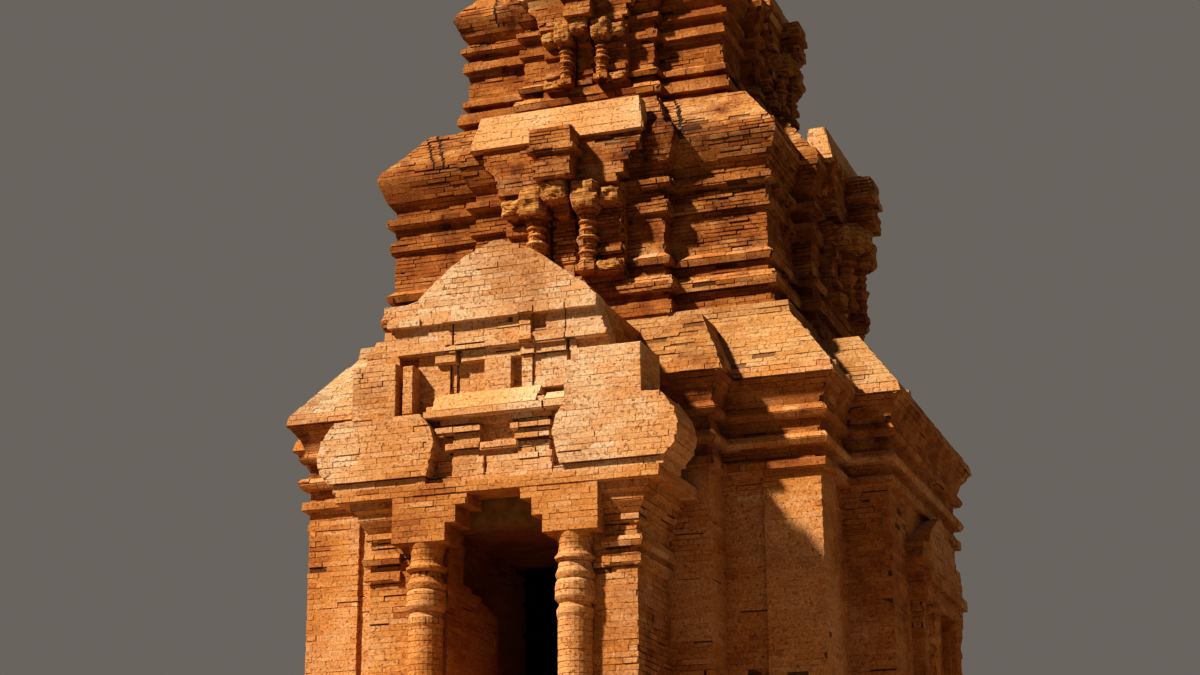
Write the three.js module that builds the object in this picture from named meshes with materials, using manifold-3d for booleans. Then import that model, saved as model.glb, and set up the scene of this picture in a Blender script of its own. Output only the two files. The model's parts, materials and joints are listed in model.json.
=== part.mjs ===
// Brick temple tower: a square cella with a shallow bay on each side, an open porch in front,
// a corbelled vault inside and three stepped upper tiers under a stone crown.
// Millimetres, +Z up, the origin on the ground at the tower's axis, the entrance towards -Y.

import * as THREE from 'three';
import { mergeVertices } from 'three/addons/utils/BufferGeometryUtils.js';
import Module from 'manifold-3d';

const wasm = await Module();
wasm.setup();

// Driving dimensions

const seatGap = 0.3;          // left where a piece is cut to the shape of its neighbour

const floorLevel = 1200;      // top of the plinth
const paving = 50;            // thickness of the floor inside
const wallTop = 4930;
const corniceTop = 6160;
const roofTop = 6900;
const courseTop = 7180;       // top of the upright course that closes the main roof

const bodyHalf = 3340;        // wall plane of the cella
const bayHalf = 2130;         // half width of the bay on each side
const bayReach = 3880;        // wall plane of the bays
const cornerPilaster = 680;
const wallRelief = 50;        // depth of the panels between pilasters
const chamberHalf = 1700;

const passageHalf = 1050;
const passageTop = 4300;
const jambInner = 750;        // clear half width between the jambs
const jambTop = 3600;

const porchHalf = 1630;
const porchReach = 5050;
const porchThroat = 4450;     // back face of the door jambs
const doorHead = 4200;
const slabBottom = 4510;
const slabTop = 4640;
const slabHalf = 1980;
const slabReach = 5310;

const colonetteX = 912;
const colonetteY = 5087;
const colonetteRadius = 195;
const notchX = 1110;          // the pier's front is cut back here for the colonette
const notchY = 4860;
const impostBottom = 3970;

const pedimentBack = 4940;    // plane where the carved front meets the porch block
const lobeFoot = 4730;
const lobeTop = 5470;
const ledgeBottom = 5420;
const ledgeTop = 5720;
const blockHalf = 1420;
const blockTop = 6100;
const sideBlockBack = 4670;   // the lobes and the blocks over them run back past the porch block to here
const gableBase = 6250;
const gableFace = 6600;

// Planes of the carved front, from the deepest to the lobes.
const carved = {
  recess: 5000,
  panel: 5060,
  wall: 5125,
  strip: 5155,
  frieze: 5190,
  low: 5215,
  band: 5245,
  lobe: 5350,
};

// Helpers: points, solids and moulded rings

function box(x0, x1, y0, y1, z0, z1) {
  const geometry = new THREE.BoxGeometry(x1 - x0, y1 - y0, z1 - z0);
  geometry.translate((x0 + x1) / 2, (y0 + y1) / 2, (z0 + z1) / 2);
  return geometry;
}

function outline(points) {
  return new THREE.Shape(points.map(([x, y]) => new THREE.Vector2(x, y)));
}

// A plan outline raised from z0 to z1.
function post(points, z0, z1) {
  const geometry = new THREE.ExtrudeGeometry(outline(points), { depth: z1 - z0, bevelEnabled: false });
  geometry.translate(0, 0, z0);
  return geometry;
}

// An outline drawn in X and Z, running from y0 to y1.
function frontal(points, y0, y1) {
  const geometry = new THREE.ExtrudeGeometry(outline(points), { depth: y1 - y0, bevelEnabled: false });
  geometry.rotateX(Math.PI / 2);
  geometry.translate(0, y1, 0);
  return geometry;
}

// An outline drawn in Y and Z, running from x0 to x1.
function sideways(points, x0, x1) {
  const geometry = new THREE.ExtrudeGeometry(outline(points), { depth: x1 - x0, bevelEnabled: false });
  geometry.rotateX(Math.PI / 2);
  geometry.rotateZ(Math.PI / 2);
  geometry.translate(x0, 0, 0);
  return geometry;
}

function welded(geometry) {
  const bare = geometry.clone();
  bare.deleteAttribute('normal');
  bare.deleteAttribute('uv');
  return mergeVertices(bare, 1e-3);
}

function toSolid(geometry) {
  const mesh = welded(geometry);
  return new wasm.Manifold(new wasm.Mesh({
    numProp: 3,
    vertProperties: new Float32Array(mesh.attributes.position.array),
    triVerts: new Uint32Array(mesh.index.array),
  }));
}

function toGeometry(solid) {
  const mesh = solid.getMesh();
  const geometry = new THREE.BufferGeometry();
  geometry.setAttribute('position', new THREE.BufferAttribute(new Float32Array(mesh.vertProperties), 3));
  geometry.setIndex(new THREE.BufferAttribute(new Uint32Array(mesh.triVerts), 1));
  return geometry;
}

function join(...pieces) {
  return toGeometry(pieces.map(toSolid).reduce((sum, piece) => sum.add(piece)));
}

function cut(piece, ...cutters) {
  return toGeometry(cutters.map(toSolid).reduce((rest, cutter) => rest.subtract(cutter), toSolid(piece)));
}

function mirrored(points) {
  return points.map(([x, y]) => [-x, y]).reverse();
}

// Half an outline, from its foot on the axis to its top, completed by its mirror image.
function symmetric(half) {
  return [...half, ...mirrored(half)];
}

// Plan outline with a bay in the middle of each side. Each corner keeps its outward direction, so that
// a moulding can step out from it. The front may carry a second, longer arm for the porch.
function plan({ half, arm, reach, porchArm, porchEnd }) {
  const porch = porchArm
    ? [[-arm, -reach], [-porchArm, -reach], [-porchArm, -porchEnd], [porchArm, -porchEnd], [porchArm, -reach],
      [arm, -reach]]
    : [[-arm, -reach], [arm, -reach]];
  const front = [[-half, -half], [-arm, -half], ...porch, [arm, -half]];
  const plain = [[-half, -half], [-arm, -half], [-arm, -reach], [arm, -reach], [arm, -half]];
  const quarter = ([x, y], turns) => [[x, y], [-y, x], [-x, -y], [y, -x]][turns];
  const sides = [1, 2, 3].flatMap((turns) => plain.map((point) => quarter(point, turns)));
  return [...front, ...sides];
}

function squarePlan(half) {
  return [[-half, -half], [half, -half], [half, half], [-half, half]];
}

// The plan moved outward by a distance, with square mitres.
function spread(points, distance) {
  return points.map(([x, y], i) => {
    const [px, py] = points.at(i - 1);
    const [nx, ny] = points[(i + 1) % points.length];
    const before = new THREE.Vector2(y - py, px - x).normalize();
    const after = new THREE.Vector2(ny - y, x - nx).normalize();
    return [x + (before.x + after.x) * distance, y + (before.y + after.y) * distance];
  });
}

function capTriangles(contour, hole) {
  const vectors = contour.map(([x, y]) => new THREE.Vector2(x, y));
  const holes = hole ? [hole.map(([x, y]) => new THREE.Vector2(x, y))] : [];
  return THREE.ShapeUtils.triangulateShape(vectors, holes);
}

function bandIndices(first, second, count) {
  return Array.from({ length: count }, (_, i) => {
    const j = (i + 1) % count;
    return [first + i, first + j, second + j, first + i, second + j, second + i];
  }).flat();
}

// A solid whose outside follows rings from the bottom up, each ring an outline at a height. The well is a
// second list of rings, from the bottom up, that leaves the middle hollow.
function stacked(rings, well = []) {
  const positions = [];
  const addRing = ({ points, z }) => {
    const start = positions.length / 3;
    points.forEach(([x, y]) => positions.push(x, y, z));
    return start;
  };
  const outer = rings.map(addRing);
  const inner = well.map(addRing);
  const count = rings[0].points.length;
  const wellCount = well.length ? well[0].points.length : 0;
  const index = [];
  outer.slice(1).forEach((start, i) => index.push(...bandIndices(outer[i], start, count)));
  inner.slice(1).forEach((start, i) => {
    const band = bandIndices(inner[i], start, wellCount);
    index.push(...band.reverse());
  });
  const cap = (ring, start, hollow, hollowStart, flip) => {
    const place = (i) => (i < count ? start + i : hollowStart + i - count);
    capTriangles(ring.points, hollow && hollow.points).forEach((triangle) => {
      const order = flip ? [...triangle].reverse() : triangle;
      index.push(...order.map(place));
    });
  };
  cap(rings[0], outer[0], well[0], inner[0], true);
  cap(rings.at(-1), outer.at(-1), well.at(-1), inner.at(-1), false);
  const geometry = new THREE.BufferGeometry();
  geometry.setAttribute('position', new THREE.Float32BufferAttribute(positions, 3));
  geometry.setIndex(index);
  return geometry;
}

// Rings of one plan, moved out by the first number of each step at the height of the second.
function moulding(points, steps) {
  return steps.map(([out, z]) => ({ points: spread(points, out), z }));
}

function wellRings(steps) {
  return steps.map(([half, z]) => ({ points: squarePlan(half), z }));
}

// The steps of a moulding grown by the seat gap, for cutting what leans against it.
function grown(steps) {
  return steps.map(([out, z], i) => {
    const [lowOut, lowZ] = steps[Math.max(i - 1, 0)];
    const [highOut, highZ] = steps[Math.min(i + 1, steps.length - 1)];
    const fall = Math.sign((lowOut - out) * (z === lowZ) + (out - highOut) * (z === highZ));
    const end = (i === steps.length - 1) - (i === 0);
    return [out + seatGap, z + (fall + end) * seatGap];
  });
}

// The parts of the tower

const bodyPlan = plan({ half: bodyHalf, arm: bayHalf, reach: bayReach });

const colours = {
  brick: 0xd9822f,
  brickPale: 0xe39a55,
  brickDark: 0xb9652b,
  stone: 0x6b5a37,
};

const temple = new THREE.Group();
temple.name = 'temple';

function add(name, geometry, colour = colours.brick, parent = temple) {
  const material = new THREE.MeshStandardMaterial({ color: colour, roughness: 0.9, metalness: 0 });
  const mesh = new THREE.Mesh(welded(geometry), material);
  mesh.name = name;
  parent.add(mesh);
  return mesh;
}

// A mesh turned inside out by a mirror gets its faces pointing out again.
function flipped(geometry) {
  const whole = welded(geometry);
  whole.setIndex(Array.from(whole.index.array).reverse());
  return whole;
}

function addPair(name, geometry, colour) {
  add(name + 'right', geometry, colour);
  add(name + 'left', flipped(geometry.clone().scale(-1, 1, 1)), colour);
}

// Plinth, floor and steps

const plinthSteps = [[520, 0], [520, 300], [400, 300], [400, 520], [260, 640], [260, 800], [330, 800],
  [330, 960], [200, 960], [200, floorLevel]];
const plinthPlan = plan({ half: bodyHalf, arm: bayHalf, reach: bayReach, porchArm: porchHalf, porchEnd: 5250 });

function entranceSteps() {
  const risers = 6;
  const rise = floorLevel / risers;
  const going = 280;
  const halfWidth = 1000;
  const head = -5450;
  const landing = -6050;
  const profile = [[head, 0], [head, floorLevel]];
  for (let i = 0; i < risers; i += 1) {
    profile.push([landing - i * going, floorLevel - i * rise]);
    profile.push([landing - i * going, floorLevel - (i + 1) * rise]);
  }
  const foot = landing - (risers - 1) * going;
  const cheek = [[head, 0], [head, floorLevel], [landing, floorLevel], [foot - 150, 260], [foot - 150, 0]];
  const flight = sideways(profile.reverse(), -halfWidth, halfWidth);
  const cheeks = [-1, 1].map((side) => {
    const x = side * (halfWidth + 150);
    return sideways([...cheek].reverse(), x - 160, x + 160);
  });
  return cut(join(flight, ...cheeks), stacked(moulding(plinthPlan, grown(plinthSteps))));
}

function chamberFloor() {
  const top = floorLevel + paving;
  const room = box(-chamberHalf, chamberHalf, -chamberHalf, chamberHalf, floorLevel, top);
  const way = box(-jambInner, jambInner, -porchReach, -chamberHalf + 1, floorLevel, top);
  return join(room, way);
}

add('base_plinth', stacked(moulding(plinthPlan, plinthSteps)), colours.brickDark);
add('entrance_steps', entranceSteps(), colours.brickDark);
add('chamber_floor', chamberFloor(), colours.brickDark);

// Walls of the cella

// From the bay to the corner: a panel set back between the bay and the corner pilaster.
function cornerRun() {
  const inner = bodyHalf - cornerPilaster;
  return [[bayHalf, bodyHalf - wallRelief], [inner, bodyHalf - wallRelief], [inner, bodyHalf], [bodyHalf, bodyHalf]];
}

function backWall() {
  const side = [...cornerRun(), [bodyHalf, inset()], [bodyHalf - wallRelief, inset()],
    [bodyHalf - wallRelief, bayHalf], [bodyHalf, bayHalf], [bodyHalf, chamberHalf]];
  const half = [[bayHalf, bayReach], ...side];
  return [...mirrored(half), ...half];
}

function inset() {
  return bodyHalf - cornerPilaster;
}

// The plan of the wall beside the passage, on the side of positive X, drawn with the front at negative Y.
function frontWall() {
  const run = cornerRun().map(([x, y]) => [x, -y]);
  return [[passageHalf, -chamberHalf], [passageHalf, -bayReach], [bayHalf, -bayReach], ...run,
    [bodyHalf, -inset()], [bodyHalf - wallRelief, -inset()], [bodyHalf - wallRelief, -bayHalf],
    [bodyHalf, -bayHalf], [bodyHalf, -chamberHalf]];
}

function sideWall() {
  return [[chamberHalf, -chamberHalf], [bodyHalf, -chamberHalf], [bodyHalf, -bayHalf], [bayReach, -bayHalf],
    [bayReach, bayHalf], [bodyHalf, bayHalf], [bodyHalf, chamberHalf], [chamberHalf, chamberHalf]];
}

add('back_wall', post(backWall().reverse(), floorLevel, wallTop));
add('front_wall_right', post(frontWall(), floorLevel, wallTop));
add('front_wall_left', post(mirrored(frontWall()), floorLevel, wallTop));
add('side_wall_right', post(sideWall(), floorLevel, wallTop));
add('side_wall_left', post(mirrored(sideWall()), floorLevel, wallTop));
add('front_wall_over_passage', box(-passageHalf, passageHalf, -bayReach, -chamberHalf, passageTop, wallTop));

// Cornice and roof of the cella, hollow under the corbelled vault

const corniceSteps = [[80, wallTop], [80, 5020], [0, 5020], [0, 5200], [90, 5200], [130, 5265], [90, 5330],
  [10, 5330], [10, 5540], [90, 5540], [130, 5605], [90, 5670], [60, 5690], [110, 5850], [240, 6020],
  [260, 6020], [225, corniceTop]];
const corniceWell = [[chamberHalf, wallTop], [1560, wallTop], [1560, 5330], [1420, 5330], [1420, 5740],
  [1280, 5740], [1280, corniceTop]];

add('body_cornice', stacked(moulding(bodyPlan, corniceSteps), wellRings(corniceWell)));

const roofEave = { half: 3560, arm: 2350, reach: 4100 };
const roofCrest = { half: 3020, arm: 1980, reach: 3560 };
const mainRoofRings = [{ points: plan(roofEave), z: corniceTop }, { points: plan(roofCrest), z: roofTop }];
const roofWell = [[1140, corniceTop], [1140, 6540], [1000, 6540], [1000, roofTop]];

const courseRings = [[3000, roofTop - 1], [3000, roofTop], [2915, 7030], [2925, 7030], [2900, courseTop]];
const courseWell = [[900, roofTop - 1], [900, courseTop]];

function mainRoof() {
  const slopes = stacked(mainRoofRings, wellRings(roofWell));
  const course = stacked(wellRings(courseRings), wellRings(courseWell));
  return join(slopes, course);
}

add('main_roof', mainRoof(), colours.brickPale);

// Porch

function colonette() {
  const radius = colonetteRadius;
  const ring = radius + 21;
  const rings = [[0, floorLevel + paving], [ring, floorLevel + paving], [ring, 1420], [radius, 1470], [radius, 3020],
    [ring - 6, 3035], [ring - 6, 3110], [radius - 12, 3130], [radius - 12, 3170], [ring, 3225], [ring - 8, 3420],
    [radius - 5, 3430], [ring - 2, 3495], [radius, 3560], [radius - 12, 3640], [ring, 3655], [ring, 3700],
    [radius - 5, 3720], [radius - 10, 3800], [ring - 6, impostBottom], [0, impostBottom]];
  const profile = rings.map(([r, z]) => new THREE.Vector2(r, z));
  const geometry = new THREE.LatheGeometry(profile, 16);
  geometry.rotateX(Math.PI / 2);
  geometry.translate(colonetteX, -colonetteY, 0);
  const flank = box(notchX - seatGap, porchHalf, -porchReach - seatGap, -bayReach, 0, slabTop);
  const rear = box(0, porchHalf, -notchY - seatGap, -bayReach, 0, slabTop);
  return cut(geometry, flank, rear);
}

const pierShaft = [[jambInner, -notchY], [notchX, -notchY], [notchX, -porchReach], [porchHalf, -porchReach],
  [porchHalf, -bayReach], [passageHalf, -bayReach], [passageHalf, -porchThroat], [jambInner, -porchThroat]];
const capitalBottom = 3560;
const capitalSteps = [[-50, capitalBottom], [55, 3600], [55, 3680], [0, 3700], [0, 3780], [60, 3780], [80, 3840],
  [60, 3900], [0, 3900], [0, 4060], [50, 4080], [50, 4150], [20, 4150], [120, 4300], [120, 4380],
  [190, 4420], [190, slabBottom]];

// The top of the pier, with bands that run round its outer corner and back to the bay.
function porchCapital() {
  const core = post(pierShaft, capitalBottom, slabBottom);
  const face = [[1000, -porchReach], [porchHalf, -porchReach], [porchHalf, -bayReach + 300], [1000, -bayReach + 300]];
  const bands = stacked(moulding(face, capitalSteps));
  const keep = box(1251, 2500, -6000, -bayReach, capitalBottom, slabBottom);
  const beamSeat = box(jambInner - 10, notchX, -notchY - 1, -porchThroat + 1, doorHead, slabBottom + 1);
  const trimmed = toSolid(bands).intersect(toSolid(keep));
  return toGeometry(toSolid(core).add(trimmed).subtract(toSolid(beamSeat)));
}

function impost() {
  const face = [[1250, impostBottom], [1250, slabBottom], [340, slabBottom], [340, 4390], [480, 4390],
    [480, 4180], [610, 4180], [610, impostBottom]];
  const pierCorner = box(notchX, 1300, -porchReach, -4800, impostBottom - 1, slabBottom + 1);
  return cut(frontal(face, -5300, -notchY), pierCorner);
}

function innerJamb() {
  const broken = [[-porchThroat, floorLevel + paving], [-porchThroat, jambTop], [-4200, jambTop], [-4200, 3540],
    [-3900, 3540], [-3900, 3470], [-3650, 3470], [-3650, 3400], [-3380, 3400], [-3380, floorLevel + paving]];
  return sideways(broken.reverse(), jambInner, passageHalf);
}

addPair('porch_pier_', post(pierShaft, floorLevel + paving, capitalBottom));
addPair('porch_capital_', porchCapital());
addPair('colonette_', colonette(), colours.brickPale);
addPair('impost_', impost());
addPair('inner_jamb_', innerJamb());
add('door_lintel', box(-notchX, notchX, -notchY, -porchThroat, doorHead, slabBottom), colours.stone);
add('porch_slab', box(-slabHalf, slabHalf, -slabReach, -bayReach, slabBottom, slabTop));

const corniceCutter = stacked(moulding(bodyPlan, grown(corniceSteps)));
const roofCutter = stacked([
  { points: spread(plan(roofEave), seatGap * 2), z: corniceTop },
  { points: spread(plan(roofCrest), seatGap * 2), z: roofTop + seatGap },
]);
const courseCutter = stacked(wellRings(courseRings.map(([half, z]) => [half + seatGap * 2, z])));

add('porch_block', cut(box(-blockHalf, blockHalf, -pedimentBack, -bayReach, slabTop, blockTop), corniceCutter));

// A panel, strip or post of the carved front: it stands on the porch block and reaches out to a plane.
function relief(x0, x1, z0, z1, plane) {
  return box(x0, x1, -plane, -pedimentBack, z0, z1);
}

// The inner edge of a lobe from its foot up, seen from the front.
const lobeInner = [[840, lobeFoot], [800, 4860], [740, 5120], [800, 5320], [900, 5450]];

function lobe() {
  const outer = [[2070, lobeFoot], [2190, 4880], [2230, 5050], [2180, 5240], [2050, 5430], [1890, lobeTop]];
  const face = [...outer, [930, lobeTop], ...[...lobeInner].reverse()];
  const base = relief(870, 2030, slabTop, lobeFoot, carved.lobe - 50);
  const flank = frontal([[blockHalf, lobeFoot], ...outer, [blockHalf, lobeTop]], -pedimentBack, -sideBlockBack);
  const flankBase = box(blockHalf, 2030, -pedimentBack, -sideBlockBack, slabTop, lobeFoot);
  return join(frontal(face, -carved.lobe, -pedimentBack), base, flank, flankBase);
}

addPair('lobe_', lobe());

// The field between the lobes: a low wall with two slots, four posts and rows of broken bars under a fascia.
function pedimentField() {
  const inside = lobeInner.slice(0, -1).map(([x, z]) => [x - 1, z]);
  const edge = [[869, slabTop], [869, lobeFoot], ...inside, [862, ledgeBottom]];
  const wall = frontal(symmetric(edge), -carved.wall, -pedimentBack);
  const lowTop = 4930;
  const low = [[-770, -540, carved.wall + 20], [-540, -170, carved.low], [-110, 670, carved.low]];
  const posts = [[-540, -230], [260, 630]];
  const bars = [[-620, -210, 5040, 5100], [-190, 260, 5025, 5080], [250, 650, 5080, 5160], [-660, -210, 5240, 5310],
    [-750, -640, 5240, 5275], [190, 660, 5225, 5290]];
  return join(
    wall,
    relief(-868, 868, slabTop, lobeFoot, carved.low),
    ...low.map(([x0, x1, plane]) => relief(x0, x1, lobeFoot, lowTop, plane)),
    relief(-540, 640, lowTop, 5020, carved.frieze - 20),
    ...posts.map(([x0, x1]) => relief(x0, x1, lowTop, ledgeBottom, carved.frieze)),
    ...bars.map(([x0, x1, z0, z1]) => relief(x0, x1, z0, z1, carved.band)),
    relief(-700, 660, 5340, ledgeBottom, carved.low),
  );
}

// A sloping ledge, broken off in steps at its left end and to half its height at its right end.
function pedimentLedge() {
  const nose = 5330;
  const lip = 5500;
  const slope = (top, back) => [[-pedimentBack, ledgeBottom], [-nose, ledgeBottom], [-nose, lip], [-back, top],
    [-pedimentBack, top]];
  return join(
    relief(-870, 600, ledgeBottom, lip, nose),
    relief(-850, 600, lip - 1, 5560, nose - 45),
    sideways(slope(ledgeTop, 5180), -780, 525),
    sideways(slope(5610, 5200), 620, 870),
    relief(520, 870, ledgeBottom, 5600, carved.recess + 20),
  );
}

// The wall between the ledge and the gable: panels between narrow posts under a strip, with a fin at the left
// and a block over each lobe.
function upperField() {
  const stripBottom = 6120;
  const finTop = 6070;
  const left = [-1780, -1250, 6120];
  const right = [890, 1790, 6060];
  const deep = [
    relief(-1270, 1360, ledgeTop, gableBase, carved.recess),
    relief(-1270, -871, lobeTop, ledgeTop, carved.recess),
    relief(871, 900, lobeTop, ledgeTop, carved.recess),
    relief(530, 900, 5611, ledgeTop, carved.recess),
  ];
  const panels = [[-1030, -630, ledgeTop, carved.wall], [-630, -170, ledgeTop, carved.panel],
    [-640, -560, 5760, carved.panel + 30], [-170, 135, ledgeTop, carved.strip], [300, 405, ledgeTop, carved.strip],
    [435, 825, ledgeTop, carved.wall], [975, 1360, right[2] + 1, carved.wall]];
  const strips = [[-1030, -790, carved.wall], [-790, -550, carved.frieze], [-470, 275, carved.strip],
    [295, 440, carved.frieze], [465, 830, carved.strip + 15], [890, 960, carved.strip]];
  const blocks = [
    relief(left[0], left[1], lobeTop, left[2], carved.lobe - 10),
    relief(right[0], right[1], lobeTop, 5930, carved.lobe - 10),
    relief(right[0] + 85, right[1], 5929, right[2], carved.lobe - 10),
    box(left[0], -blockHalf, -pedimentBack, -sideBlockBack, lobeTop, left[2]),
    box(blockHalf, right[1], -pedimentBack, -sideBlockBack, lobeTop, right[2]),
  ];
  return join(
    ...deep,
    relief(-1030, -871, lobeTop, ledgeTop + 1, carved.wall),
    relief(-1130, -1030, lobeTop + 30, finTop, carved.lobe - 10),
    ...panels.map(([x0, x1, z0, plane]) => relief(x0, x1, z0, gableBase, plane)),
    ...strips.map(([x0, x1, plane]) => relief(x0, x1, stripBottom, gableBase, plane)),
    ...blocks,
  );
}

// The gable: a frieze with slots over a narrow band, and above it the face, stepped and broken at the left.
function gableWall() {
  const rake = [[1120, 6850], [900, 7010], [720, 7160], [560, 7290], [380, 7400], [180, 7480], [60, 7540]];
  const leftRake = mirrored(rake.slice(1)).concat([[-1000, 6900], [-1170, 6860], [-1440, 6860], [-1440, 6790],
    [-1380, 6700], [-1380, gableFace]]);
  const face = [[1230, gableFace], [1230, 6720], ...rake, ...leftRake];
  const frieze = [[-1270, gableBase], [1330, gableBase], [1260, 6540], [1230, gableFace + 1], [-1340, gableFace + 1],
    [-1340, 6560], [-1450, 6560], [-1450, 6430], [-1580, 6430], [-1580, 6330], [-1680, 6330], [-1680, 6121],
    [-1270, 6121]];
  const slots = [[-600, -550, 6300], [255, 290, 6300], [405, 440, 6320], [440, 610, 6400], [825, 860, 6260]];
  const notches = [[-600, -575], [270, 285], [455, 470], [850, 865]];
  const body = join(
    frontal(face, -carved.band, -pedimentBack),
    frontal(frieze, -carved.frieze, -pedimentBack),
    relief(-1270, 1340, gableBase, 6300, carved.low + 10),
    relief(290, 405, 6300, gableFace, carved.low),
    relief(285, 455, gableFace, 6670, carved.band + 40),
    relief(290, 430, 6270, 6330, carved.band + 20),
  );
  return cut(
    body,
    ...slots.map(([x0, x1, z0]) => box(x0, x1, -carved.lobe, -carved.wall, z0, gableFace - 5)),
    ...notches.map(([x0, x1]) => box(x0, x1, -carved.lobe, -carved.frieze - 10, gableFace - 10, 6660)),
  );
}

function porchRoof() {
  const half = [[1240, blockTop], [1240, 6700], [1080, 6820], [700, 7110], [350, 7360], [60, 7460]];
  const body = frontal(symmetric(half), -pedimentBack, -2930);
  return cut(body, corniceCutter, roofCutter, courseCutter);
}

add('pediment_field', pedimentField());
add('pediment_ledge', pedimentLedge(), colours.brickPale);
add('upper_field', upperField());
add('gable_wall', gableWall(), colours.brickPale);
add('porch_roof', porchRoof());

// Upper tiers: each a smaller cella with bays, a niche on each side and a cornice, under a sloping roof

const tiers = [
  { name: 'tier1', base: courseTop, half: 2580, arm: 1300, reach: 2830, height: 2550, next: 10350, well: 900 },
  { name: 'tier2', base: 10350, half: 1850, arm: 940, reach: 2040, height: 1950, next: 12740, well: 0 },
  { name: 'tier3', base: 12740, half: 1330, arm: 680, reach: 1470, height: 1480, next: 14560, well: 0 },
];

// Heights as shares of the tier's height, steps out as shares of the first tier's.
const tierBase = [[100, 0], [100, 0.067], [40, 0.067], [40, 0.125], [120, 0.125], [140, 0.165], [100, 0.2],
  [0, 0.2], [0, 0.267], [60, 0.267], [90, 0.298], [0, 0.33], [0, 0.545]];
const tierCornice = [[60, 0.545], [60, 0.6], [0, 0.6], [0, 0.68], [100, 0.69], [100, 0.72], [0, 0.73],
  [0, 0.78], [90, 0.82], [210, 0.937], [160, 1]];

function tierSteps(tier, steps) {
  const size = Math.sqrt(tier.height / tiers[0].height);
  return steps.map(([out, share]) => [out * size, tier.base + share * tier.height]);
}

function tierWalls(tier, well) {
  return stacked(moulding(tierPlan(tier), tierSteps(tier, tierBase)), well);
}

function tierPlan(tier) {
  return plan({ half: tier.half, arm: tier.arm, reach: tier.reach });
}

function addTier(tier) {
  const points = tierPlan(tier);
  const rise = (share) => tier.base + share * tier.height;
  const wells = (low, high, half) => (tier.well ? wellRings([[half, rise(low)], [half, rise(high)]]) : []);
  add(tier.name + '_walls', tierWalls(tier, wells(0, 0.545, tier.well * 0.8)));
  const cornice = moulding(points, tierSteps(tier, tierCornice));
  add(tier.name + '_cornice', stacked(cornice, wells(0.545, 1, tier.well * 0.5)));
  add(tier.name + '_roof', stacked(tierRoof(tier, 0)), colours.brickPale);
}

function tierRoof(tier, gap) {
  const top = tier.base + tier.height;
  const eave = { half: tier.half + 130, arm: tier.arm + 80, reach: tier.reach + 130 };
  const shrink = (tier.next - top) * 0.75;
  const crest = { half: eave.half - shrink, arm: eave.arm - shrink * 0.6, reach: eave.reach - shrink };
  return [
    { points: spread(plan(eave), gap), z: top },
    { points: spread(plan(crest), gap), z: tier.next + gap },
  ];
}

tiers.forEach(addTier);

// Crown: a square stone cushion under a tapering top

const crownBase = 14560;
const crownRings = [[620, 14560], [620, 14640], [520, 14640], [560, 14760], [560, 14820], [430, 14820],
  [400, 14900], [470, 15020], [480, 15120], [430, 15260], [330, 15400], [200, 15540], [60, 15640]];

add('crown', stacked(wellRings(crownRings)), colours.stone);

// Niches and false doors. Each is drawn at the front, facing -Y, and turned to its side. The unit is one
// for the first tier and less for the tier above.

function ringedPost(x, y, radius, z0, z1) {
  const at = (share) => z0 + (z1 - z0) * share;
  const rings = [[0, 0], [1.15, 0], [1.15, 0.1], [0.85, 0.14], [0.85, 0.42], [1.2, 0.5], [0.85, 0.58], [0.85, 0.84],
    [1.15, 0.9], [1.15, 1], [0, 1]];
  const geometry = new THREE.LatheGeometry(rings.map(([r, z]) => new THREE.Vector2(r * radius, at(z))), 6);
  geometry.rotateX(Math.PI / 2);
  geometry.translate(x, y, 0);
  return geometry;
}

// A rounded outline between two corners, with a bulge at its sides and top.
function boulder(x0, x1, z0, z1) {
  const between = (share, low, high) => low + (high - low) * share;
  const points = [[0.14, 0], [0.86, 0], [1, 0.2], [1, 0.7], [0.86, 0.93], [0.62, 1], [0.3, 1], [0.1, 0.9], [0, 0.65],
    [0, 0.22]];
  return points.map(([x, z]) => [between(x, x0, x1), between(z, z0, z1)]);
}

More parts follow.
